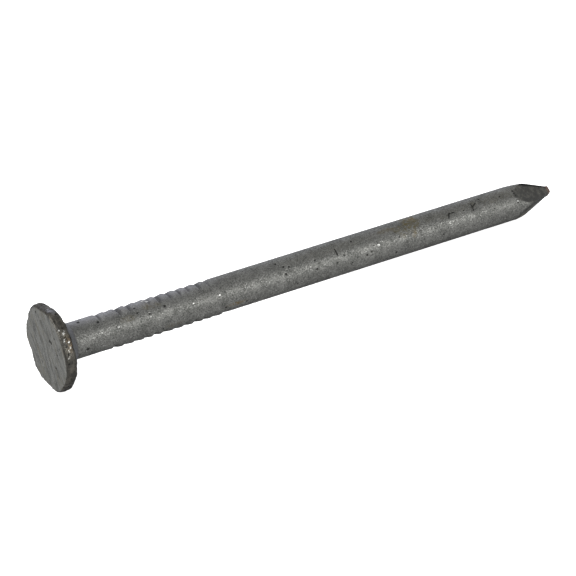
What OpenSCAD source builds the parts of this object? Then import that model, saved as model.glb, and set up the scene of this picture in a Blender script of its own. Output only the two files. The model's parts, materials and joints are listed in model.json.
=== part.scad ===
// Galvanised clout nail: round wire, large flat head, gripping marks under the head, diamond point.
// The nail lies along +X from the middle of its striking face, with +Z up. Millimetres.

/* [Wire] */
// Diameter of the steel wire before galvanising
wire_d = 3; // [2.6:0.05:3.4]
// Overall length, from the striking face to the end of the point
nail_length = 50.3; // [40:0.1:65]
// Thickness of the zinc layer on the steel
zinc_t = 0.07; // [0.04:0.01:0.1]

/* [Head] */
// Diameter across the finished head
head_d = 7.44; // [6.6:0.02:8.4]
// Distance from the striking face to the back edge of the rim
rim_h = 1.1; // [0.9:0.05:1.4]
// Slope of the underside, measured from the plane of the head
under_angle = 34; // [25:1:40]
// Rounding of the rim's front edge
front_round = 0.2; // [0.15:0.05:0.3]
// Rounding of the rim's back edge
back_round = 0.4; // [0.25:0.05:0.45]

/* [Gripping marks] */
// Number of marks on each side
mark_count = 12; // [8:1:14]
// Distance from the striking face to the first mark
mark_start = 5.2; // [4.5:0.1:6]
// Distance from one mark to the next
mark_pitch = 0.93; // [0.8:0.01:1]
// Depth of a mark at its deepest
mark_depth = 0.09; // [0.06:0.01:0.12]
// Width of a mark's long flank
long_flank = 0.46; // [0.3:0.01:0.5]
// Width of a mark's short flank
short_flank = 0.24; // [0.1:0.01:0.28]
// Radius that the marks follow, as a multiple of the shank's radius
mark_curve = 1.12; // [1.08:0.01:1.2]
// Turn of the gripping dies about the nail, from straight up
die_turn = 22; // [-90:1:90]

/* [Point] */
// Angle between each facet and the nail's axis
facet_angle = 16; // [14:1:24]
// Distance across the blunt end, from facet to facet
tip_w = 0.56; // [0.4:0.02:0.9]
// Turn of the point's first ridge about the nail, from straight up
point_turn = 14; // [-90:1:90]
// Distance that the middle of the point lies off the nail's axis, towards the first ridge
point_shift = 0.1; // [0:0.02:0.14]

/* [Hidden] */

shank_r = wire_d / 2 + zinc_t;
head_r = head_d / 2;
arc_steps = 6;
spare = 1;

function arc(cx, cy, r, a0, a1) =
    [for (i = [0:arc_steps]) let (a = a0 + (a1 - a0) * i / arc_steps) [cx + r * cos(a), cy + r * sin(a)]];

// How far along the nail the sloping underside reaches the shank.
function head_end(skin) =
    let (
        slope_r = head_r - back_round + (back_round - skin) * sin(under_angle),
        slope_x = rim_h - back_round + (back_round - skin) * cos(under_angle)
    )
    slope_x + (slope_r - shank_r + skin) * tan(under_angle);

// Half section of the head, as radius and distance along the nail, drawn in by skin all round.
function head_section(skin) = concat(
    [[0, skin]],
    arc(head_r - front_round, front_round, front_round - skin, -90, 0),
    arc(head_r - back_round, rim_h - back_round, back_round - skin, 0, 90 - under_angle),
    [[shank_r - skin, head_end(skin)], [0, head_end(skin)]]
);

// The marks of one die: rings with a sawtooth section, set off the nail's axis so that they fade out sideways.
module die_marks(side, long_w, short_w, skin) {
    ring_r = mark_curve * shank_r - skin;
    set_off = ring_r + skin + mark_depth - shank_r;
    rotate([0, 0, side])
        translate([-set_off, 0, 0])
            for (i = [0:mark_count - 1])
                translate([0, 0, mark_start + i * mark_pitch])
                    rotate_extrude($fn = 96)
                        polygon([
                            [ring_r, 0],
                            [ring_r + 2 * mark_depth, -2 * long_w],
                            [ring_r + 2 * mark_depth, 2 * short_w]
                        ]);
}

// What the four dies of the cutter take away to leave the point.
module point_cuts(skin) {
    rotate([0, 0, 180 - point_turn])
        translate([point_shift, 0, nail_length])
            for (i = [0:3])
                rotate([0, 0, 45 + 90 * i])
                    translate([tip_w / 2 - skin / cos(facet_angle), 0, 0])
                        rotate([0, -facet_angle, 0])
                            translate([0, -wire_d, -4 * wire_d])
                                cube([2 * wire_d, 2 * wire_d, 8 * wire_d]);
}

// The nail's whole outside, standing on its head, drawn in by skin, and longer than its end by past.
module upright_nail(skin, past) {
    difference() {
        union() {
            rotate_extrude($fn = 128)
                polygon(head_section(skin));
            translate([0, 0, rim_h])
                cylinder(r = shank_r - skin, h = nail_length + past - rim_h, $fn = 96);
        }
        die_marks(180 - die_turn, long_flank, short_flank, skin);
        die_marks(-die_turn, short_flank, long_flank, skin);
        point_cuts(skin);
    }
}

// The headed and pointed steel, whose end shows bare at the tip.
module steel_nail() {
    color("#6b5348")
        rotate([0, 90, 0])
            upright_nail(zinc_t, 0);
}

// The zinc that covers the steel all over, except at the end of the point.
module galvanised_coating() {
    color("#85867f")
        rotate([0, 90, 0])
            difference() {
                upright_nail(0, 0);
                upright_nail(zinc_t, spare);
            }
}

galvanised_coating();
steel_nail();
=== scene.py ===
import json
import math

import bpy
import numpy as np
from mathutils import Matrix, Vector


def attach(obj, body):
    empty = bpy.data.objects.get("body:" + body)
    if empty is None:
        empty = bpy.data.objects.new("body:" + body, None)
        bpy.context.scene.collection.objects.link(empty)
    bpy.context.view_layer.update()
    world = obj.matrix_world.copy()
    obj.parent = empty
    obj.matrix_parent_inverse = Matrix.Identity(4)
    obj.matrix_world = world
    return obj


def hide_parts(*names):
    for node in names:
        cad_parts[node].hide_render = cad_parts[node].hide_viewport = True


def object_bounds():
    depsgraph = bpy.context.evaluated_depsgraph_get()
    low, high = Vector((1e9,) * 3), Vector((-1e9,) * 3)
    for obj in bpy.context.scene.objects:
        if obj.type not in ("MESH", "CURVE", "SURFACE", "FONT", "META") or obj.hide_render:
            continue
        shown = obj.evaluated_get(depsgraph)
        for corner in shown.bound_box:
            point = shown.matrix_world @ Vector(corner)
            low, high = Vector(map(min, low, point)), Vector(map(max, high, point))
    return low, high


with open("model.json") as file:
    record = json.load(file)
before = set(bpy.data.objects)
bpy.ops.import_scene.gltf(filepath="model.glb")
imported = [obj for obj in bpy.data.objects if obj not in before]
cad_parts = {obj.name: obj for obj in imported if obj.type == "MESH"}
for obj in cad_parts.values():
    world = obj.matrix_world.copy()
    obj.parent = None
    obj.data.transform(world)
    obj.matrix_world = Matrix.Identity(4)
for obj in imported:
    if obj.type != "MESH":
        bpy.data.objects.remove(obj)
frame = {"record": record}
cadLow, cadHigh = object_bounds()

mm = 0.001
shankMount = next(m for m in frame["record"]["mounts"] if m["name"] == "shank")
nailLength = cadHigh.x / mm
shankRadius = shankMount["dims"]["r_mm"]
toMillimetres = (1 / mm, 1 / mm, 1 / mm)
toMetres = (mm, mm, mm)
acrossOnly = (0.0, 1.0, 1.0)     # leaves out the part of a vector that lies along the nail

# node helpers


def feed(tree, socket, value):
    if isinstance(value, bpy.types.NodeSocket):
        tree.links.new(value, socket)
    else:
        socket.default_value = value


def addNode(tree, kind, inputs=None, **settings):
    node = tree.nodes.new(kind)
    for name, value in settings.items():
        setattr(node, name, value)
    for name, value in (inputs or {}).items():
        feed(tree, node.inputs[name], value)
    return node


def calc(tree, operation, *values):
    node = addNode(tree, "ShaderNodeMath", operation=operation)
    for socket, value in zip(node.inputs, values):
        feed(tree, socket, value)
    return node.outputs[0]


def vecCalc(tree, operation, *values):
    node = addNode(tree, "ShaderNodeVectorMath", operation=operation)
    for socket, value in zip(node.inputs, values):
        feed(tree, socket, value)
    return node.outputs["Value" if operation in ("DOT_PRODUCT", "LENGTH") else "Vector"]


def product(tree, *values):
    result = values[0]
    for value in values[1:]:
        result = calc(tree, "MULTIPLY", result, value)
    return result


def ramp(tree, value, low, high, toLow=0.0, toHigh=1.0, smooth=True):
    node = addNode(tree, "ShaderNodeMapRange", interpolation_type="SMOOTHSTEP" if smooth else "LINEAR")
    for name, number in zip(("From Min", "From Max", "To Min", "To Max"), (low, high, toLow, toHigh)):
        feed(tree, node.inputs[name], number)
    feed(tree, node.inputs["Value"], value)
    return node.outputs["Result"]


def band(tree, value, riseFrom, riseTo, fallFrom, fallTo):
    # 1 from riseTo to fallFrom, running out to 0 on both sides
    return product(tree, ramp(tree, value, riseFrom, riseTo), ramp(tree, value, fallFrom, fallTo, 1.0, 0.0))


def noise(tree, vector, scale, detail=2.0, roughness=0.5, distortion=0.0):
    node = addNode(tree, "ShaderNodeTexNoise")
    for name, value in (("Vector", vector), ("Scale", scale), ("Detail", detail),
                        ("Roughness", roughness), ("Distortion", distortion)):
        feed(tree, node.inputs[name], value)
    return node.outputs["Fac"]


def centred(tree, value, reach):
    # a 0 to 1 value made to swing from -reach to +reach
    return calc(tree, "MULTIPLY", calc(tree, "SUBTRACT", value, 0.5), calc(tree, "MULTIPLY", reach, 2.0))


def newGroup(name, kind, inputs, outputs):
    tree = bpy.data.node_groups.new(name, kind)
    for label, socketType, default in inputs:
        socket = tree.interface.new_socket(label, in_out="INPUT", socket_type=socketType)
        if default is not None:
            socket.default_value = default
    for label, socketType in outputs:
        tree.interface.new_socket(label, in_out="OUTPUT", socket_type=socketType)
    return tree, tree.nodes.new("NodeGroupInput").outputs, tree.nodes.new("NodeGroupOutput").inputs


# shape of the nail

nail = {
    "turnSteps": 144,          # points round each ring
    "rowSpacing": 0.093,       # distance between rings along the shank
    "zinc": 0.07,              # thickness of the coating
    "gap": 0.004,              # between the coating's inside and the steel, so that they never flicker
    "deepest": -0.062,         # a dent stops here, a little short of the steel
    # rings of the inside: close under the marks, few on the plain shank, close again at the point
    "markedEnd": 17.0,
    "markedSpacing": 0.2325,
    "plainStations": [25.0, 35.0, 45.0],
    "pointSpacing": 0.4,
}

head = {
    "radius": 3.70,
    "rim": 1.1,                # back edge of the rim
    "frontRound": 0.2,
    "backRound": 0.4,
    "underLength": 1.05,       # the underside runs out to the shank over this length
    "hollow": 1.5,             # and is hollow: 1 would be a straight cone
    "softEdge": [(35, 40, 0.16)],          # where the face rolls over further: turn, width, drop
    # where the blow of the header left the outline out of round: turn, width, rise
    "lobes": [(102, 14, 0.27), (143, 12, 0.26), (123, 7, -0.12), (186, 18, -0.36), (233, 12, -0.12),
              (268, 12, 0.08), (41, 8, 0.08), (76, 8, -0.06),
              (66, 36, 0.24), (120, 36, 0.27), (178, 36, 0.26), (18, 24, -0.22), (194, 9, 0.14)],
}

point = {
    # one value for each facet: upper back, lower back, lower front, upper front
    "facetAngle": [15, 17.4, 17.4, 16],
    "facetDeeper": [0.03, 0, 0, 0.055],
    "edgeSoft": [0.17, 0.03, 0.03, 0.04],  # rounding of the edges
    "tipWidth": 0.56,
    "turn": 14,                # the first ridge, in degrees from straight up
    "shift": 0.1,              # the cutter met a little above the axis, towards the first ridge
    "fin": 0.03,               # flash left standing on the lower ridge, where the dies met
    "finWidth": 0.06,
    "burr": 0.08,              # the blunt end is spread a little
    "bareLength": 0.32,        # steel left bare at the tip
    "thinFrom": 1.6,           # the zinc thins out over this length
    "thinnest": 0.02,
}

tipStart = nailLength - point["bareLength"]


def lobeSum(turns, lobes):
    total = np.zeros_like(turns)
    for middle, width, rise in lobes:
        away = (turns - middle + 180) % 360 - 180
        total += rise * np.exp(-(away / width) ** 2)
    return total


def arcPoints(x, r, radius, start, end, steps):
    # start and end are measured from straight out, turning towards the point
    angles = np.radians(np.linspace(start, end, steps))
    return [(x + radius * math.sin(a), r + radius * math.cos(a)) for a in angles]


def headProfile(skin, faceRings, arcSteps, rimRings, underRings):
    # half section of the head, from the middle of the face to the shank
    soft, back = head["frontRound"], head["backRound"]
    rimR = head["radius"]
    rows = [(skin, (rimR - soft) * k / faceRings) for k in range(1, faceRings)]
    rows += arcPoints(soft, rimR - soft, soft - skin, -90, 0, arcSteps)
    rows += [(x, rimR - skin) for x in np.linspace(soft, head["rim"] - back, rimRings + 2)[1:-1]]
    rows += arcPoints(head["rim"] - back, rimR - back, back - skin, 0, 90, arcSteps)
    length, power = head["underLength"], head["hollow"]
    drop = rimR - back - shankRadius
    for k in range(1, underRings + 1):
        t = k / underRings
        slope = length * power * t ** (power - 1)
        size = math.hypot(drop, slope)
        x = head["rim"] + length * t ** power - skin * drop / size
        rows.append((x, rimR - back - drop * t - skin * slope / size))
    return rows, head["rim"] + length


def softMin(a, b, soft):
    h = np.clip(0.5 + (b - a) / (2 * soft), 0, 1)
    return b * (1 - h) + a * h - soft * h * (1 - h)


def pointRadius(xs, turns, skin):
    # radius left by the four sloping facets at each station and turn, and how much of it is facet
    radii = np.full_like(turns, shankRadius - skin)
    for k in range(4):
        slope = math.radians(point["facetAngle"][k])
        away = np.radians(turns - point["turn"] - 45 - 90 * k)
        reach = point["tipWidth"] / 2 + point["shift"] * math.cos(math.radians(45 + 90 * k))
        reach = reach - point["facetDeeper"][k] + (nailLength - xs) * math.tan(slope) - skin / math.cos(slope)
        facet = reach / np.maximum(np.cos(away), 0.05)
        radii = softMin(radii, facet, point["edgeSoft"][k])
    cut = np.clip((shankRadius - skin - radii) / 0.04, 0, 1)
    away = np.abs((turns - point["turn"]) % 360 - 180)
    across = np.radians(away) * radii / point["finWidth"]
    radii = radii + point["fin"] * cut * np.exp(-across ** 2)
    nearEnd = np.clip((xs - nailLength + 0.36) / 0.16, 0, 1)
    return radii + point["burr"] * nearEnd ** 2 * (3 - 2 * nearEnd), cut


def stations(start, end, spacing):
    count = max(1, round((end - start) / spacing))
    return [start + (end - start) * k / count for k in range(1, count + 1)]


def innerStations(start):
    plain = nail["plainStations"]
    marked = stations(start, nail["markedEnd"], nail["markedSpacing"])
    return marked + plain + stations(plain[-1], tipStart, nail["pointSpacing"])


def skinThickness(x, full, least):
    # full along the nail, and running down to the least where the steel lies bare
    thin = np.clip((x - tipStart + point["thinFrom"]) / point["thinFrom"], 0, 1)
    return full + (least - full) * thin


def ringsFor(rows, full, least):
    # turns (station, radius) rows into rings of points, with the out-of-round head and the point's facets
    turns = point["turn"] + np.arange(nail["turnSteps"]) * 360.0 / nail["turnSteps"]
    angles = np.radians(turns)
    lobes = lobeSum(turns, head["lobes"])
    softer = lobeSum(turns, head["softEdge"])
    rings, cuts = [], []
    for x, r in rows:
        skin = skinThickness(x, full, least)
        cut = np.zeros_like(turns)
        share = np.clip((r - shankRadius) / (head["radius"] - shankRadius), 0, 1)
        radii = np.full_like(turns, r) + lobes * share
        nearEdge = np.clip((radii - head["radius"] + 0.9) / 0.9, 0, 1) ** 2 * (x < 0.5)
        along = np.full_like(turns, x) + softer * nearEdge
        if x > nailLength / 2:
            radii, cut = pointRadius(along, turns, skin)
        rings.append(np.stack([along, radii * np.sin(angles), radii * np.cos(angles)], 1))
        cuts.append(cut)
    return rings, cuts


def lathe(name, rings, cuts, outsideRings):
    # rings joined in order, each end closed on a point
    steps = nail["turnSteps"]
    points = np.concatenate([rings[0].mean(0)[None], *rings, rings[-1].mean(0)[None]]) * mm
    faces = []
    for k in range(steps):
        faces.append((0, 1 + k, 1 + (k + 1) % steps))
    for j in range(len(rings) - 1):
        low, high = 1 + j * steps, 1 + (j + 1) * steps
        for k in range(steps):
            n = (k + 1) % steps
            faces.append((low + k, high + k, high + n, low + n))
    last = len(points) - 1
    base = last - steps
    for k in range(steps):
        faces.append((last, base + (k + 1) % steps, base + k))
    mesh = bpy.data.meshes.new(name)
    mesh.from_pydata(points.tolist(), [], faces)
    outside = np.zeros(len(points), np.float32)
    outside[: 1 + outsideRings * steps] = 1.0
    cut = np.concatenate([[0], *cuts, [cuts[-1].mean()]])
    mesh.attributes.new("outside", "FLOAT", "POINT").data.foreach_set("value", outside)
    mesh.attributes.new("cut", "FLOAT", "POINT").data.foreach_set("value", cut.astype(np.float32))
    mesh.shade_smooth()
    piece = bpy.data.objects.new(name, mesh)
    bpy.context.scene.collection.objects.link(piece)
    return piece


def buildCoating():
    # the nail's outside, and back along the steel's outside
    rows, coneEnd = headProfile(0, 40, 6, 5, 14)
    rows += [(x, shankRadius) for x in stations(coneEnd, tipStart, nail["rowSpacing"])]
    outer, outerCuts = ringsFor(rows, 0, 0)
    inRows, coneEnd = headProfile(nail["zinc"], 4, 4, 1, 4)
    inRows += [(x, shankRadius - nail["zinc"]) for x in innerStations(coneEnd)]
    inner, innerCuts = ringsFor(inRows, nail["zinc"], point["thinnest"])
    return lathe("galvanisedSkin", outer + inner[::-1], outerCuts + innerCuts[::-1], len(outer))


def buildSteel():
    skin = nail["zinc"] + nail["gap"]
    rows, coneEnd = headProfile(skin, 4, 4, 1, 4)
    bare = stations(tipStart, nailLength - 0.06, 0.03)
    rows += [(x, shankRadius - skin) for x in innerStations(coneEnd) + bare]
    rings, cuts = ringsFor(rows, skin, point["thinnest"] + nail["gap"])
    # the blunt end, rounded over
    end = rings[-1]
    middle = end.mean(0)
    for share, ahead in ((0.93, 0.03), (0.8, 0.05), (0.6, 0.06), (0.4, 0.058), (0.2, 0.062)):
        ring = middle + (end - middle) * share
        ring[:, 0] = end[:, 0] + ahead
        rings.append(ring)
        cuts.append(cuts[-1])
    steel = lathe("steelCore", rings, cuts, len(rings))
    outside = np.zeros(len(steel.data.vertices), np.float32)
    firstBare = 1 + (len(rows) - len(bare)) * nail["turnSteps"]
    outside[firstBare:] = 1.0
    steel.data.attributes["outside"].data.foreach_set("value", outside)
    return steel


# surface of the nail

grip = {
    "Die Turn": math.radians(22),          # from straight up to the middle of the upper die
    "Mark Start": 4.55,        # station where the first mark of the upper die begins
    "Lower Start": 5.43,       # and of the lower die
    "Mark Pitch": 0.93,
    "Mark Count": 12.0,
    "Mark Depth": 0.13,
    "Lower Lift": 0.075,       # the lower die's marks stand proud, since the dies met off centre
}
liftZone = (4.8, 6.2, 15.4, 16.6)      # stations where that lift begins, is full, is full still, and ends

dross = {
    "Wave Height": 0.007,
    "Grain Height": 0.012,
    "Rim Height": 0.11,
    "Streak Height": 0.06,
    "Streak Turn": 37.0,       # direction of the face's streaks, in degrees from straight up
    "Stray Scars": 130000.0,   # per square metre
    "Stray Gap": 0.0006,       # in metres
    "Scar Depth": 0.06,
}
skinSeed = 7

# what stands out on the skin
marks = {
    # station, turn, radius
    "pits": [(4.5, -20, 0.17), (3, 5, 0.2), (6.5, 5, 0.12), (3, -95, 0.18), (8, -10, 0.16), (8, -30, 0.14),
             (10.5, -35, 0.17), (9, -45, 0.12), (10, -110, 0.13), (16, -105, 0.15), (18, -105, 0.14),
             (21.5, -10, 0.15), (22, -30, 0.14), (22.5, -35, 0.14), (22, -55, 0.16),
             (23, -100, 0.13), (25, -70, 0.15), (25, -40, 0.12),
             (27, -70, 0.11), (29, -15, 0.15), (28.5, -85, 0.11), (30, -75, 0.15), (30.5, -70, 0.12),
             (33, -100, 0.15), (33.5, -50, 0.1), (40.5, -30, 0.1), (42.5, -5, 0.14), (43.5, -55, 0.1),
             (44.5, -20, 0.12), (46, -15, 0.16), (46, -25, 0.13), (46, -35, 0.12), (46, -60, 0.12)],
    # pimples: small bumps, which the material colours with a painted highlight
    "pimples": [(6, -55, 0.12), (9, 10, 0.16), (9.3, 5, 0.17), (13, -55, 0.11), (15.5, -55, 0.11),
                (31.3, -55, 0.17), (46, -55, 0.11)],
    # from station and turn, to station and turn
    "cracks": [(27.2, -25, 27.2, -45), (38.8, -40, 39, -25), (39, -25, 39.5, -25), (41.5, -15, 41.4, -40),
               (41.9, -18, 41.5, -28)],
    "crackSteps": 5,
    "crackWidth": 0.1,
    "crackDepth": 1.1,
    # distance from the middle of the face, turn, radius
    "facePits": [(2.5, -40, 0.17), (1.3, -30, 0.2), (1.5, -40, 0.2), (3.2, 35, 0.18), (2.1, -75, 0.15),
                 (2.2, 150, 0.15), (1.9, -120, 0.16), (2.9, -60, 0.14)],
    # raised spots on the rim, which the material colours with a painted glint, and the pits between them
    # count, first turn, last turn, least and most radius
    "rimGlints": (14, -32, -73, 0.08, 0.14),
    "rimPits": (9, -10, -105, 0.12, 0.18),
    "rimReach": (0.22, 0.72),
    "rimSeed": 4,
}


def rimMarks(name, low, high):
    # strewn over the rim's front half, with a depth share between low and high
    count, first, last, least, most = marks[name]
    draw = np.random.default_rng(marks["rimSeed"])
    rows = []
    for turn in np.linspace(first, last, count):
        along = draw.uniform(*marks["rimReach"])
        size = draw.uniform(least, most)
        rows.append((along, turn, head["radius"], size, draw.uniform(low, high)))
    return rows


def crackMarks():
    # a crack is a row of small pits
    rows = []
    for along, turn, endAlong, endTurn in marks["cracks"]:
        for share in np.linspace(0, 1, marks["crackSteps"]):
            place = (along + (endAlong - along) * share, turn + (endTurn - turn) * share)
            rows.append((*place, shankRadius, marks["crackWidth"], marks["crackDepth"]))
    return rows


def placedScars():
    # a mesh of loose points, one for each scar, that the node tree looks up and that isn't kept
    rows = [(along, turn, shankRadius, size, 1.0) for along, turn, size in marks["pits"]]
    rows += [(along, turn, shankRadius, size, -1.0) for along, turn, size in marks["pimples"]]
    rows += [(0, turn, reach, size, 0.8) for reach, turn, size in marks["facePits"]]
    rows += crackMarks() + rimMarks("rimGlints", -0.95, -0.5) + rimMarks("rimPits", 0.6, 1.0)
    places = []
    for along, turn, reach, _, _ in rows:
        angle = math.radians(turn)
        places.append((along * mm, reach * mm * math.sin(angle), reach * mm * math.cos(angle)))
    mesh = bpy.data.meshes.new("placedScars")
    mesh.from_pydata(places, [], [])
    for name, column in (("scarSize", 3), ("scarDepth", 4)):
        values = [row[column] for row in rows]
        mesh.attributes.new(name, "FLOAT", "POINT").data.foreach_set("value", values)
    piece = bpy.data.objects.new("placedScars", mesh)
    bpy.context.scene.collection.objects.link(piece)
    return piece


def readAttribute(tree, name):
    node = addNode(tree, "GeometryNodeInputNamedAttribute", {"Name": name}, data_type="FLOAT")
    return node.outputs["Attribute"]


def storeAttribute(tree, geometry, name, value):
    node = addNode(tree, "GeometryNodeStoreNamedAttribute", {"Geometry": geometry, "Name": name},
                   data_type="FLOAT", domain="POINT")
    feed(tree, node.inputs["Value"], value)
    return node.outputs["Geometry"]


def gripField(tree, into, along, turn):
    # the sawtooth left by the two dies, in millimetres, and how far round it reaches
    fromDie = calc(tree, "SUBTRACT", turn, into["Die Turn"])
    facing = calc(tree, "COSINE", fromDie)
    lower = calc(tree, "LESS_THAN", facing, 0.0)
    spread = ramp(tree, calc(tree, "ABSOLUTE", facing), 0.5, 0.95)
    # each die has a lane of the noise to itself
    combine = addNode(tree, "ShaderNodeCombineXYZ", {"X": along, "Y": product(tree, lower, 9.0)})
    lane = combine.outputs["Vector"]
    wander = centred(tree, noise(tree, lane, 0.55, 1.0), 0.22)
    aside = vecCalc(tree, "ADD", lane, (0.0, 0.0, 4.0))
    skew = centred(tree, noise(tree, aside, 0.3, 1.0), product(tree, calc(tree, "SINE", fromDie), 0.35))
    later = calc(tree, "SUBTRACT", into["Lower Start"], into["Mark Start"])
    start = calc(tree, "ADD", product(tree, lower, later), into["Mark Start"])
    count = calc(tree, "DIVIDE", calc(tree, "SUBTRACT", along, start), into["Mark Pitch"])
    count = calc(tree, "ADD", calc(tree, "ADD", count, wander), skew)
    begun = calc(tree, "GREATER_THAN", count, 0.0)
    within = product(tree, begun, calc(tree, "LESS_THAN", count, into["Mark Count"]))
    # a mark drops steeply to its deepest line and climbs out slowly
    part = calc(tree, "FRACT", count)
    deepestAt = 0.2
    dropping = calc(tree, "DIVIDE", part, deepestAt)
    climbing = calc(tree, "DIVIDE", calc(tree, "SUBTRACT", 1.0, part), calc(tree, "SUBTRACT", 1.0, deepestAt))
    tooth = ramp(tree, calc(tree, "MINIMUM", dropping, climbing), 0.0, 1.0)
    which = calc(tree, "ADD", calc(tree, "FLOOR", count), product(tree, lower, 50.0))
    each = addNode(tree, "ShaderNodeTexWhiteNoise", {"W": which}, noise_dimensions="1D")
    vary = ramp(tree, each.outputs["Value"], 0.0, 1.0, 0.45, 1.0, smooth=False)
    mark = product(tree, product(tree, tooth, spread), product(tree, within, vary))
    lifted = product(tree, band(tree, along, *liftZone), into["Lower Lift"])
    lift = product(tree, product(tree, lower, spread), lifted)
    height = calc(tree, "SUBTRACT", lift, product(tree, mark, into["Mark Depth"]))
    return height, mark


def scarField(tree, into, geometry, placed, outside, position):
    # pits and pimples: the placed ones and strays scattered over the whole skin
    scatter = addNode(tree, "GeometryNodeDistributePointsOnFaces",
                      {"Mesh": geometry, "Selection": outside, "Distance Min": into["Stray Gap"],
                       "Density Max": into["Stray Scars"], "Seed": into["Seed"]},
                      distribute_method="POISSON")

    def chance(low, high, step):
        node = addNode(tree, "FunctionNodeRandomValue", data_type="FLOAT")
        feed(tree, node.inputs[2], low)
        feed(tree, node.inputs[3], high)
        feed(tree, node.inputs["Seed"], calc(tree, "ADD", into["Seed"], step))
        return node.outputs[1]

    size = calc(tree, "POWER", chance(0.28, 0.5, 1.0), 2.6)
    size = calc(tree, "ADD", size, 0.03)
    depth = chance(-0.35, 1.0, 2.0)
    strays = storeAttribute(tree, scatter.outputs["Points"], "scarSize", size)
    strays = storeAttribute(tree, strays, "scarDepth", depth)
    pointsOnly = addNode(tree, "GeometryNodePointsToVertices", {"Points": strays})
    allScars = addNode(tree, "GeometryNodeJoinGeometry")
    for source in (placed, pointsOnly.outputs["Mesh"]):
        tree.links.new(source, allScars.inputs[0])
    cloud = allScars.outputs[0]
    nearest = addNode(tree, "GeometryNodeSampleNearest", {"Geometry": cloud, "Sample Position": position},
                      domain="POINT")

    def atNearest(value, dataType):
        node = addNode(tree, "GeometryNodeSampleIndex", data_type=dataType, domain="POINT")
        feed(tree, node.inputs["Geometry"], cloud)
        feed(tree, node.inputs["Value"], value)
        feed(tree, node.inputs["Index"], nearest.outputs["Index"])
        return node.outputs["Value"]

    place = atNearest(addNode(tree, "GeometryNodeInputPosition").outputs[0], "FLOAT_VECTOR")
    away = vecCalc(tree, "MULTIPLY", vecCalc(tree, "SUBTRACT", position, place), toMillimetres)
    ragged = centred(tree, noise(tree, vecCalc(tree, "MULTIPLY", position, toMillimetres), 6.0, 2.0), 0.35)
    distance = product(tree, vecCalc(tree, "LENGTH", away), calc(tree, "ADD", ragged, 1.0))
    share = calc(tree, "DIVIDE", distance, atNearest(readAttribute(tree, "scarSize"), "FLOAT"))
    fall = ramp(tree, share, 0.35, 1.1, 1.0, 0.0)
    return calc(tree, "MULTIPLY", fall, atNearest(readAttribute(tree, "scarDepth"), "FLOAT"))


def scaled(tree, direction, length):
    node = addNode(tree, "ShaderNodeVectorMath", {0: direction, "Scale": length}, operation="SCALE")
    return node.outputs[0]


def faceStreaks(tree, into, axes, onFace):
    # ridges drawn across the face by the header
    streakTurn = calc(tree, "RADIANS", into["Streak Turn"])
    cosTurn, sinTurn = calc(tree, "COSINE", streakTurn), calc(tree, "SINE", streakTurn)
    lengthways = calc(tree, "ADD", product(tree, axes["Y"], sinTurn), product(tree, axes["Z"], cosTurn))
    across = calc(tree, "SUBTRACT", product(tree, axes["Z"], sinTurn), product(tree, axes["Y"], cosTurn))
    lane = addNode(tree, "ShaderNodeCombineXYZ", {"X": product(tree, lengthways, 0.33), "Y": across})
    streak = noise(tree, lane.outputs["Vector"], 1.6, 3.0, 0.55, 0.4)
    return product(tree, centred(tree, streak, into["Streak Height"]), onFace)


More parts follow.
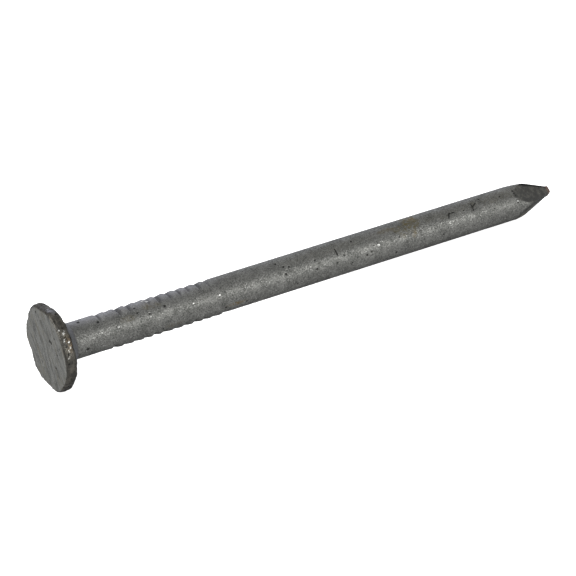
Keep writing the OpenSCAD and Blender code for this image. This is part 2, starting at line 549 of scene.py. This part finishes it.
def skinTree():
    inputs = [("Geometry", "NodeSocketGeometry", None), ("Placed Scars", "NodeSocketObject", None),
              ("Material", "NodeSocketMaterial", None), ("Seed", "NodeSocketInt", skinSeed)]
    inputs += [(name, "NodeSocketFloat", value) for name, value in (*grip.items(), *dross.items())]
    tree, into, out = newGroup("nailSkin", "GeometryNodeTree", inputs, [("Geometry", "NodeSocketGeometry")])
    position = addNode(tree, "GeometryNodeInputPosition").outputs[0]
    normal = addNode(tree, "GeometryNodeInputNormal").outputs[0]
    place = vecCalc(tree, "MULTIPLY", position, toMillimetres)
    axes = addNode(tree, "ShaderNodeSeparateXYZ", {"Vector": place}).outputs
    along = axes["X"]
    turn = calc(tree, "ARCTAN2", axes["Y"], axes["Z"])
    fromAxis = vecCalc(tree, "MULTIPLY", place, acrossOnly)
    radius = vecCalc(tree, "LENGTH", fromAxis)
    outward = vecCalc(tree, "NORMALIZE", fromAxis)
    outside = readAttribute(tree, "outside")

    # which part of the nail this is
    onHead = product(tree, ramp(tree, radius, 2.6, 3.5), ramp(tree, along, 1.3, 1.7, 1.0, 0.0))
    facing = addNode(tree, "ShaderNodeSeparateXYZ", {"Vector": normal}).outputs["X"]
    facesAhead = ramp(tree, facing, -0.985, -0.85, 1.0, 0.0)
    onFace = product(tree, facesAhead, calc(tree, "LESS_THAN", along, 0.5))
    onRim = product(tree, onHead, calc(tree, "SUBTRACT", 1.0, onFace))

    gripHeight, mark = gripField(tree, into, along, turn)
    wave = centred(tree, noise(tree, place, 0.45, 3.0), into["Wave Height"])
    grain = centred(tree, noise(tree, place, 3.2, 2.0), into["Grain Height"])
    rim = product(tree, centred(tree, noise(tree, place, 1.6, 2.0, 0.5), into["Rim Height"]), onRim)
    streaks = faceStreaks(tree, into, axes, onFace)
    placed = addNode(tree, "GeometryNodeObjectInfo", {"Object": into["Placed Scars"]},
                     transform_space="ORIGINAL")
    strayZone = product(tree, outside, calc(tree, "GREATER_THAN", along, 2.6))
    scar = scarField(tree, into, into["Geometry"], placed.outputs["Geometry"], strayZone, position)
    scarHeight = product(tree, scar, product(tree, into["Scar Depth"], -1.0))

    height = calc(tree, "ADD", calc(tree, "ADD", wave, grain), calc(tree, "ADD", rim, streaks))
    height = calc(tree, "MAXIMUM", calc(tree, "ADD", height, scarHeight), nail["deepest"])
    height = product(tree, height, outside)
    shift = vecCalc(tree, "ADD", scaled(tree, normal, height), scaled(tree, outward, gripHeight))
    shift = vecCalc(tree, "MULTIPLY", shift, toMetres)
    geometry = into["Geometry"]
    for name, value in (("scar", scar), ("mark", mark), ("rim", onRim)):
        geometry = storeAttribute(tree, geometry, name, value)
    moved = addNode(tree, "GeometryNodeSetPosition", {"Geometry": geometry, "Offset": shift})
    real = addNode(tree, "GeometryNodeRealizeInstances", {"Geometry": moved.outputs[0]})
    finish = addNode(tree, "GeometryNodeSetMaterial",
                     {"Geometry": real.outputs[0], "Material": into["Material"]})
    tree.links.new(finish.outputs[0], out[0])
    return tree


def dressSkin(piece, tree, material, placed):
    modifier = piece.modifiers.new("skin", "NODES")
    modifier.node_group = tree
    sockets = {s.name: s.identifier for s in tree.interface.items_tree if s.in_out == "INPUT"}
    modifier[sockets["Placed Scars"]] = placed
    modifier[sockets["Material"]] = material
    depsgraph = bpy.context.evaluated_depsgraph_get()
    mesh = bpy.data.meshes.new_from_object(piece.evaluated_get(depsgraph), depsgraph=depsgraph)
    piece.modifiers.remove(modifier)
    piece.data = mesh
    mesh.name = piece.name
    mesh.shade_smooth()
    mesh.attributes.remove(mesh.attributes["outside"])
    return piece


# materials


def nailPlace():
    # where a point lies on the nail, in millimetres and degrees
    tree, into, out = newGroup("nailPlace", "ShaderNodeTree", [],
                               [("Place", "NodeSocketVector"), ("Along", "NodeSocketFloat"),
                                ("Turn", "NodeSocketFloat"), ("Radius", "NodeSocketFloat")])
    coordinates = addNode(tree, "ShaderNodeTexCoord").outputs["Object"]
    place = vecCalc(tree, "MULTIPLY", coordinates, toMillimetres)
    axes = addNode(tree, "ShaderNodeSeparateXYZ", {"Vector": place}).outputs
    feed(tree, out["Place"], place)
    feed(tree, out["Along"], axes["X"])
    feed(tree, out["Turn"], calc(tree, "DEGREES", calc(tree, "ARCTAN2", axes["Y"], axes["Z"])))
    feed(tree, out["Radius"], vecCalc(tree, "LENGTH", vecCalc(tree, "MULTIPLY", place, acrossOnly)))
    return tree


def mottle():
    # cloudy patches with finer specks in them
    tree, into, out = newGroup("mottle", "ShaderNodeTree",
                               [("Place", "NodeSocketVector", None), ("Patch Scale", "NodeSocketFloat", 0.5),
                                ("Speck Scale", "NodeSocketFloat", 5.0),
                                ("Speck Share", "NodeSocketFloat", 0.5)],
                               [("Mask", "NodeSocketFloat")])
    patch = noise(tree, into["Place"], into["Patch Scale"], 4.0, 0.6, 0.3)
    speck = noise(tree, into["Place"], into["Speck Scale"], 3.0, 0.6)
    mixed = calc(tree, "ADD", calc(tree, "MULTIPLY", patch, calc(tree, "SUBTRACT", 1.0, into["Speck Share"])),
                 calc(tree, "MULTIPLY", speck, into["Speck Share"]))
    feed(tree, out["Mask"], ramp(tree, mixed, 0.3, 0.7))
    return tree


def stain():
    # a ragged patch round one place on the nail
    tree, into, out = newGroup("stain", "ShaderNodeTree",
                               [("Place", "NodeSocketVector", None), ("Along", "NodeSocketFloat", 0.0),
                                ("Turn", "NodeSocketFloat", 0.0), ("At Along", "NodeSocketFloat", 0.0),
                                ("At Turn", "NodeSocketFloat", 0.0), ("Half Length", "NodeSocketFloat", 1.0),
                                ("Half Turn", "NodeSocketFloat", 30.0), ("Ragged", "NodeSocketFloat", 0.5)],
                               [("Mask", "NodeSocketFloat")])
    lengthways = calc(tree, "SUBTRACT", into["Along"], into["At Along"])
    lengthways = calc(tree, "DIVIDE", lengthways, into["Half Length"])
    sideways = calc(tree, "SUBTRACT", into["Turn"], into["At Turn"])
    sideways = calc(tree, "WRAP", sideways, 180.0, -180.0)
    sideways = calc(tree, "DIVIDE", sideways, into["Half Turn"])
    distance = calc(tree, "SQRT", calc(tree, "ADD", calc(tree, "MULTIPLY", lengthways, lengthways),
                                       calc(tree, "MULTIPLY", sideways, sideways)))
    edge = centred(tree, noise(tree, into["Place"], 1.6, 4.0, 0.65), into["Ragged"])
    feed(tree, out["Mask"], ramp(tree, calc(tree, "ADD", distance, edge), 0.55, 1.15, 1.0, 0.0))
    return tree


def grainBump():
    # fine grains that catch the light
    tree, into, out = newGroup("grainBump", "ShaderNodeTree",
                               [("Place", "NodeSocketVector", None), ("Coarse", "NodeSocketFloat", 0.5),
                                ("Fine", "NodeSocketFloat", 0.5)],
                               [("Height", "NodeSocketFloat")])
    coarse = calc(tree, "MULTIPLY", noise(tree, into["Place"], 4.2, 2.0, 0.6), into["Coarse"])
    fine = calc(tree, "MULTIPLY", noise(tree, into["Place"], 9.0, 2.0, 0.6), into["Fine"])
    feed(tree, out["Height"], calc(tree, "ADD", coarse, fine))
    return tree


groups = {make.__name__: make() for make in (nailPlace, mottle, stain, grainBump)}


def useGroup(tree, name, inputs=None):
    node = addNode(tree, "ShaderNodeGroup", node_tree=groups[name])
    for label, value in (inputs or {}).items():
        feed(tree, node.inputs[label], value)
    return node.outputs


def mixColour(tree, mask, first, second):
    node = addNode(tree, "ShaderNodeMix", data_type="RGBA")
    feed(tree, node.inputs["Factor"], mask)
    feed(tree, node.inputs[6], first)
    feed(tree, node.inputs[7], second)
    return node.outputs[2]


zincLook = {
    "light": (0.186, 0.186, 0.177, 1),
    "dark": (0.056, 0.057, 0.053, 1),
    "pit": (0.012, 0.012, 0.011, 1),
    "paintedGlint": (0.6, 0.6, 0.58, 1),
    "olive": (0.085, 0.075, 0.04, 1),
    "amber": (0.15, 0.1, 0.048, 1),
    "paintedSheen": (0.245, 0.245, 0.264, 1),
    "rimDark": (0.036, 0.034, 0.03, 1),
    "rimBrown": (0.082, 0.076, 0.064, 1),
    "under": (0.2, 0.205, 0.22, 1),
    "cut": (0.05, 0.05, 0.047, 1),
    "cutPale": (0.11, 0.107, 0.096, 1),
    "ridgeGlint": (0.3, 0.29, 0.25, 1),
    "faceLight": (0.255, 0.255, 0.24, 1),
    "faceDark": (0.04, 0.04, 0.038, 1),
    "faceBrown": (0.17, 0.16, 0.13, 1),
    "metallic": 0.75,
    "edgeTint": (0.27, 0.28, 0.3, 1),
    "rough": 0.42,
    "roughSwing": (0.08, -0.05),
    "rimRough": 0.3,
    "grainCoarse": 0.5,
    "grainFine": 0.7,
    "bumpStrength": 1.0,
    "bumpDistance": 0.000055,
    # stains: station, turn, half length, half turn, strength, share of amber in the olive
    "stains": [(35, -10, 0.9, 38, 0.85, 0.1), (34, -25, 1.1, 15, 0.65, 0.05), (32.5, -15, 0.9, 12, 0.5, 0.2),
               (35, -55, 0.3, 15, 0.6, 0.3), (34, -50, 0.4, 10, 0.4, 0.2), (35.5, 5, 0.35, 12, 0.6, 0.5),
               (17, -100, 1.1, 8, 0.9, 0.45), (9.5, -20, 0.9, 14, 0.4, 0.1), (46, -15, 5, 26, 0.22, 0),
               (38.5, -20, 4, 20, 0.14, 0), (27, -20, 5, 20, 0.12, 0), (11, -105, 0.9, 9, 0.3, 0.2),
               (7, 5, 0.5, 16, 0.45, 0), (9, -10, 0.45, 12, 0.5, 0.1), (7, -40, 0.8, 12, 0.3, 0.2)],
    # the same on the rim, with the colour's name; the light patch at the rim's top is painted sheen, not a
    # stain
    "rimStainsAndSheen": [(0.7, -55, 0.3, 15, 0.4, "amber"), (0.6, 0, 0.4, 12, 0.55, "paintedSheen")],
}


def newMaterial(name):
    material = bpy.data.materials.new(name)
    material.use_nodes = True
    tree = material.node_tree
    tree.nodes.clear()
    shader = tree.nodes.new("ShaderNodeBsdfPrincipled")
    output = tree.nodes.new("ShaderNodeOutputMaterial")
    tree.links.new(shader.outputs[0], output.inputs[0])
    return material, tree, shader


def readMask(tree, name):
    return addNode(tree, "ShaderNodeAttribute", attribute_name=name).outputs["Fac"]


def coat(tree, colour, tone, *masks):
    # tone laid over colour as far as all the masks let it
    return mixColour(tree, product(tree, *masks), colour, tone)


def addGrain(tree, shader, place, look):
    grains = {"Place": place, "Coarse": look["grainCoarse"], "Fine": look["grainFine"]}
    height = useGroup(tree, "grainBump", grains)["Height"]
    bump = addNode(tree, "ShaderNodeBump", {"Height": height, "Strength": look["bumpStrength"],
                                            "Distance": look["bumpDistance"]})
    feed(tree, shader.inputs["Normal"], bump.outputs[0])


def raggedPatchMask(tree, at, along, turn, halfLength, halfTurn):
    spot = {"Place": at["Place"], "Along": at["Along"], "Turn": at["Turn"], "At Along": along,
            "At Turn": turn, "Half Length": halfLength, "Half Turn": halfTurn, "Ragged": 0.8}
    return useGroup(tree, "stain", spot)["Mask"]


def plainTone(tree, at, cloud, flecks):
    # cloudy zinc with olive and amber stains
    colour = mixColour(tree, cloud, zincLook["dark"], zincLook["light"])
    for along, turn, halfLength, halfTurn, strength, amber in zincLook["stains"]:
        mask = raggedPatchMask(tree, at, along, turn, halfLength, halfTurn)
        tone = mixColour(tree, amber, zincLook["olive"], zincLook["amber"])
        colour = coat(tree, colour, tone, mask, flecks, strength)
    return colour


def faceTone(tree, at, colour):
    # streaks drawn across the face by the header
    onFace = ramp(tree, at["Along"], 0.08, 0.16, 1.0, 0.0)
    streakTurn = math.radians(dross["Streak Turn"])
    spin = addNode(tree, "ShaderNodeVectorRotate", {"Vector": at["Place"], "Angle": streakTurn},
                   rotation_type="X_AXIS")
    drawn = vecCalc(tree, "MULTIPLY", spin.outputs[0], (0.0, 1.0, 0.28))
    fine = ramp(tree, noise(tree, drawn, 2.6, 3.0, 0.6, 0.3), 0.46, 0.62)
    aside = vecCalc(tree, "ADD", drawn, (7.0, 0.0, 0.0))
    brown = ramp(tree, noise(tree, aside, 2.2, 3.0, 0.6), 0.5, 0.62)
    colour = coat(tree, colour, zincLook["faceLight"], onFace, 0.6)
    colour = coat(tree, colour, zincLook["faceDark"], fine, onFace, 0.5)
    return coat(tree, colour, zincLook["faceBrown"], brown, onFace, 0.6)


def topSheenTone(tree, at, colour):
    # painted sheen: the upper side of the shank near the head is coloured lighter
    upperSide = ramp(tree, at["Turn"], -30.0, 12.0)
    farSide = ramp(tree, at["Turn"], 70.0, 100.0, 1.0, 0.0)
    paintedSheen = product(tree, band(tree, at["Along"], 1.9, 2.3, 12.5, 17.0), upperSide, farSide)
    return coat(tree, colour, zincLook["paintedSheen"], paintedSheen, 0.55)


def rimTone(tree, at, colour, onRim, flecks):
    # the rim is darker and browner, with a painted sheen patch at its top; the cone under it gets a lighter
    # bluish tone that is painted reflected light
    brown = ramp(tree, noise(tree, at["Place"], 2.0, 3.0, 0.6), 0.38, 0.66)
    tone = mixColour(tree, brown, zincLook["rimDark"], zincLook["rimBrown"])
    colour = coat(tree, colour, tone, onRim, 0.92)
    for along, turn, halfLength, halfTurn, strength, name in zincLook["rimStainsAndSheen"]:
        mask = raggedPatchMask(tree, at, along, turn, halfLength, halfTurn)
        colour = coat(tree, colour, zincLook[name], mask, flecks, onRim, strength)
    # painted reflected light: the cone behind the rim is coloured a lighter bluish grey
    behind = product(tree, ramp(tree, at["Along"], 1.05, 1.15), calc(tree, "SUBTRACT", 1.0, onRim))
    under = product(tree, ramp(tree, at["Radius"], 1.62, 1.75), behind)
    return coat(tree, colour, zincLook["under"], under, 0.8)


def pointTone(tree, at, colour, onCut):
    pale = ramp(tree, noise(tree, at["Place"], 2.2, 4.0, 0.65), 0.44, 0.64)
    tone = mixColour(tree, pale, zincLook["cut"], zincLook["cutPale"])
    colour = coat(tree, colour, tone, onCut, 0.85)
    # a dark edge along the upper ridge, and a painted highlight line beside the flash on the lower one
    upperRidge = band(tree, at["Turn"], 0.0, 7.0, 60.0, 80.0)
    colour = coat(tree, colour, zincLook["pit"], upperRidge, onCut, 0.8)
    lowerRidge = band(tree, at["Turn"], -153.0, -148.0, -138.0, -132.0)
    return coat(tree, colour, zincLook["ridgeGlint"], lowerRidge, onCut, 0.7)


def zincMaterial():
    material, tree, shader = newMaterial("dullZinc")
    at = useGroup(tree, "nailPlace")
    place = at["Place"]
    onRim, onCut, mark, scar = [readMask(tree, name) for name in ("rim", "cut", "mark", "scar")]
    patches = {"Place": place, "Patch Scale": 0.9, "Speck Scale": 8.5, "Speck Share": 0.65}
    cloud = useGroup(tree, "mottle", patches)["Mask"]
    flecks = ramp(tree, noise(tree, place, 4.0, 4.0, 0.65), 0.4, 0.58, 0.1, 1.0)
    colour = plainTone(tree, at, cloud, flecks)
    colour = faceTone(tree, at, colour)
    colour = topSheenTone(tree, at, colour)
    colour = rimTone(tree, at, colour, onRim, flecks)
    colour = pointTone(tree, at, colour, onCut)
    # painted shade: the grip marks are darkened towards their deepest line
    colour = coat(tree, colour, zincLook["pit"], ramp(tree, mark, 0.35, 0.8), 0.6)
    # fine dark specks, and grains given a painted glint colour and lower roughness
    plain = calc(tree, "SUBTRACT", 1.0, calc(tree, "MAXIMUM", onRim, onCut))
    speck = product(tree, ramp(tree, noise(tree, place, 5.5, 4.0, 0.65), 0.4, 0.31), plain)
    colour = coat(tree, colour, zincLook["pit"], speck, 0.7)
    aside = vecCalc(tree, "ADD", place, (3.0, 5.0, 1.0))
    sparkle = product(tree, ramp(tree, noise(tree, aside, 8.5, 2.0, 0.5), 0.6, 0.7), plain)
    colour = coat(tree, colour, zincLook["paintedGlint"], sparkle, 0.25)
    # pits are darkened; pimples and the rim's raised spots get a painted highlight colour and lower roughness
    pit = ramp(tree, scar, 0.2, 0.75)
    pimpleGlint = ramp(tree, scar, -0.2, -0.7)
    colour = coat(tree, colour, zincLook["pit"], pit, 0.85)
    colour = coat(tree, colour, zincLook["paintedGlint"], pimpleGlint, 0.7)
    feed(tree, shader.inputs["Base Color"], colour)
    shader.inputs["Metallic"].default_value = zincLook["metallic"]
    shader.inputs["Specular Tint"].default_value = zincLook["edgeTint"]
    dullest, shiniest = [zincLook["rough"] + swing for swing in zincLook["roughSwing"]]
    rough = ramp(tree, cloud, 0.0, 1.0, dullest, shiniest)
    rough = calc(tree, "SUBTRACT", rough, product(tree, calc(tree, "MAXIMUM", pimpleGlint, sparkle), 0.2))
    rough = calc(tree, "SUBTRACT", rough, product(tree, onRim, zincLook["rough"] - zincLook["rimRough"]))
    feed(tree, shader.inputs["Roughness"], rough)
    addGrain(tree, shader, place, zincLook)
    return material


steelLook = {
    "rust": (0.07, 0.028, 0.016, 1),
    "bare": (0.12, 0.1, 0.09, 1),
    "grainCoarse": 0.3,
    "grainFine": 0.7,
    "bumpStrength": 0.5,
    "bumpDistance": 0.00006,
}


def steelMaterial():
    material, tree, shader = newMaterial("bareSteel")
    place = useGroup(tree, "nailPlace")["Place"]
    patches = {"Place": place, "Patch Scale": 3.0, "Speck Scale": 12.0, "Speck Share": 0.4}
    cloud = useGroup(tree, "mottle", patches)["Mask"]
    feed(tree, shader.inputs["Base Color"], mixColour(tree, cloud, steelLook["rust"], steelLook["bare"]))
    feed(tree, shader.inputs["Roughness"], ramp(tree, cloud, 0.0, 1.0, 0.75, 0.4))
    feed(tree, shader.inputs["Metallic"], ramp(tree, cloud, 0.0, 1.0, 0.2, 0.9))
    addGrain(tree, shader, place, steelLook)
    return material


# making the pieces

zinc = zincMaterial()
steel = steelMaterial()
print("materials", zinc.name, steel.name)
skinNodes = skinTree()
placed = placedScars()
coating = dressSkin(buildCoating(), skinNodes, zinc, placed)
core = dressSkin(buildSteel(), skinNodes, steel, placed)
bpy.data.objects.remove(placed)
print("skin", len(coating.data.polygons), "faces; steel", len(core.data.polygons), "faces")

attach(coating, "root")
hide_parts("galvanised_coating")
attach(core, "root")
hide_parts("steel_nail")

# stage, camera and light

studio = {
    "azimuth": -30.3,
    "elevation": 33.0,
    "distance": 204.1,
    "lookAt": (22.1, -1.4, -0.48),
    "lens": 149.05,
    "floorSize": 2.0,
    "floorTone": 0.7,
    "floorGlow": 0.85,         # lit like a light table for the eye alone, so that the shadow stays faint
    "headRest": 0.5,           # station where the rim touches the floor
    "pointRest": 3.2,          # distance from the tip to where the point does
}


def fromAngles(azimuth, elevation):
    # direction from the nail towards whatever stands at these angles
    turn, lift = math.radians(azimuth), math.radians(elevation)
    return Vector((math.sin(turn) * math.cos(lift), -math.cos(turn) * math.cos(lift), math.sin(lift)))


def makeCamera():
    back = fromAngles(studio["azimuth"], studio["elevation"])
    data = bpy.data.cameras.new("camera")
    data.lens = studio["lens"]
    data.clip_start, data.clip_end = 0.01, 10
    camera = bpy.data.objects.new("camera", data)
    camera.location = (Vector(studio["lookAt"]) + back * studio["distance"]) * mm
    camera.rotation_mode = "QUATERNION"
    camera.rotation_quaternion = (-back).to_track_quat("-Z", "Y")
    bpy.context.scene.collection.objects.link(camera)
    bpy.context.scene.camera = camera


def makeFloor():
    # the nail lies on the rim of its head and the start of its point, so the floor slopes beside it
    rimLow = -min(v.co.z for v in coating.data.vertices if v.co.x < head["rim"] * mm) / mm
    restX = nailLength - studio["pointRest"]
    slope = math.atan2(rimLow - shankRadius, restX - studio["headRest"])
    bpy.ops.mesh.primitive_plane_add(size=studio["floorSize"])
    floor = bpy.context.object
    floor.name = "floor"
    floor.rotation_euler = (0, -slope, 0)
    floor.location = (studio["headRest"] * mm, 0, -rimLow * mm)
    material, tree, shader = newMaterial("palePaper")
    tone = studio["floorTone"]
    shader.inputs["Base Color"].default_value = (tone, tone, tone, 1)
    shader.inputs["Roughness"].default_value = 0.9
    shader.inputs["Emission Color"].default_value = (1, 1, 1, 1)
    seen = addNode(tree, "ShaderNodeLightPath").outputs["Is Camera Ray"]
    feed(tree, shader.inputs["Emission Strength"], calc(tree, "MULTIPLY", seen, studio["floorGlow"]))
    floor.data.materials.append(material)


light = {
    "world": 0.6,
    "aim": (0.025, 0, 0),
    # azimuth, elevation, distance, width, height, power, colour
    "boxes": {
        "frontBox": (27, 26, 0.5, 0.5, 0.14, 1.4, (1, 1, 0.98)),
        "backBox": (155, 12, 0.6, 0.9, 0.3, 1.85, (0.92, 0.93, 1.0)),
        "sideBox": (-95, 50, 0.6, 0.5, 0.5, 4.0, (1, 1, 1)),
    },
}


def softBox(name, azimuth, elevation, distance, width, height, power, colour):
    back = fromAngles(azimuth, elevation)
    data = bpy.data.lights.new(name, "AREA")
    data.shape = "RECTANGLE"
    data.size, data.size_y = width, height
    data.energy = power
    data.color = colour
    lamp = bpy.data.objects.new(name, data)
    lamp.location = Vector(light["aim"]) + back * distance
    lamp.rotation_mode = "QUATERNION"
    lamp.rotation_quaternion = (-back).to_track_quat("-Z", "Y")
    bpy.context.scene.collection.objects.link(lamp)


def makeLight():
    world = bpy.data.worlds.new("studio")
    world.use_nodes = True
    background = world.node_tree.nodes["Background"]
    background.inputs["Color"].default_value = (1, 1, 1, 1)
    background.inputs["Strength"].default_value = light["world"]
    bpy.context.scene.world = world
    for name, box in light["boxes"].items():
        softBox(name, *box)


makeCamera()
makeFloor()
makeLight()
bpy.context.scene.view_settings.view_transform = "Standard"
print("stage, camera and", len(light["boxes"]), "soft boxes")
